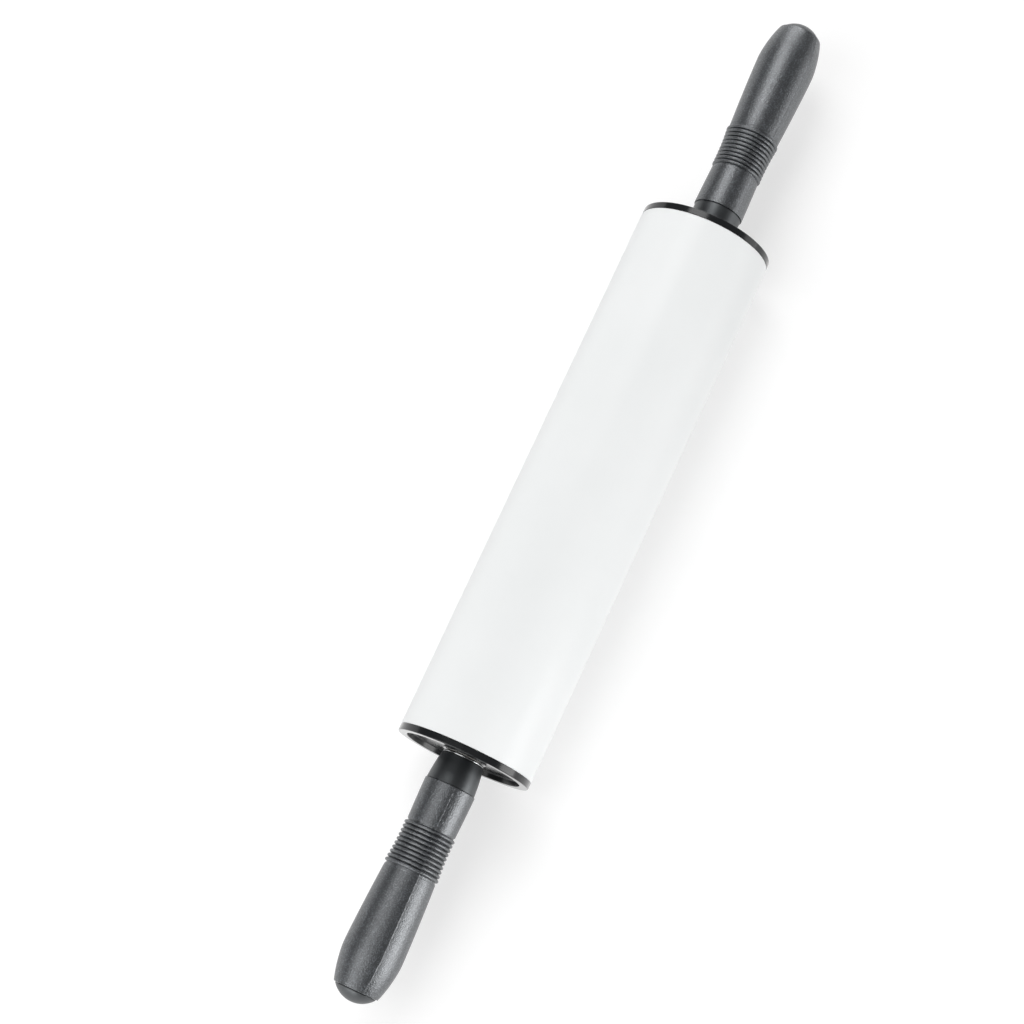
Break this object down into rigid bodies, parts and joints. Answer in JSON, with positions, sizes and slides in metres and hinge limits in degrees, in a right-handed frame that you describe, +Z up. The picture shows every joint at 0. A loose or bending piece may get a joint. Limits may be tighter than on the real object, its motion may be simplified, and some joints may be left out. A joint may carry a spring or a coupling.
{
  "type": "rolling pin",
  "caption": "Rolling pin: a smooth white-coated roller that spins freely on its axle between slim dark ribbed handles, for rolling out dough and pastry.",
  "frame": {"origin": "centre of the roller, on the axle's axis", "axes": "+X along the axle towards the right handle, +Z up, +Y to the left of +X seen from above"},
  "size_m": [0.4728, 0.0598, 0.0598],
  "materials": {
    "white_coating": "smooth white non-stick coating, semi-gloss",
    "cap_plastic": "polished black moulding",
    "collar_plastic": "satin black moulding",
    "grip_plastic": "fine-grained charcoal moulding",
    "bright_steel": "turned bright steel",
    "nylon": "natural nylon"
  },
  "bodies": {
    "handle_set": {"axle_rod": "bright_steel", "thrust_washer_left": "bright_steel", "thrust_washer_right": "bright_steel", "handle_core_left": "collar_plastic", "handle_core_right": "collar_plastic", "grip_left": "grip_plastic", "grip_right": "grip_plastic", "flat_washer_left": "bright_steel", "flat_washer_right": "bright_steel", "spring_washer_left": "bright_steel", "spring_washer_right": "bright_steel", "axle_nut_left": "bright_steel", "axle_nut_right": "bright_steel", "end_plug_left": "grip_plastic", "end_plug_right": "grip_plastic"},
    "roller": {"roller_tube": "white_coating", "end_cap_left": "cap_plastic", "end_cap_right": "cap_plastic", "bush_left": "nylon", "bush_right": "nylon"}
  },
  "joints": [
    {"name": "roller_spin", "type": "hinge", "parent": "handle_set", "child": "roller", "pos_m": [0, 0, 0], "axis": [1, 0, 0], "continuous": true}
  ]
}
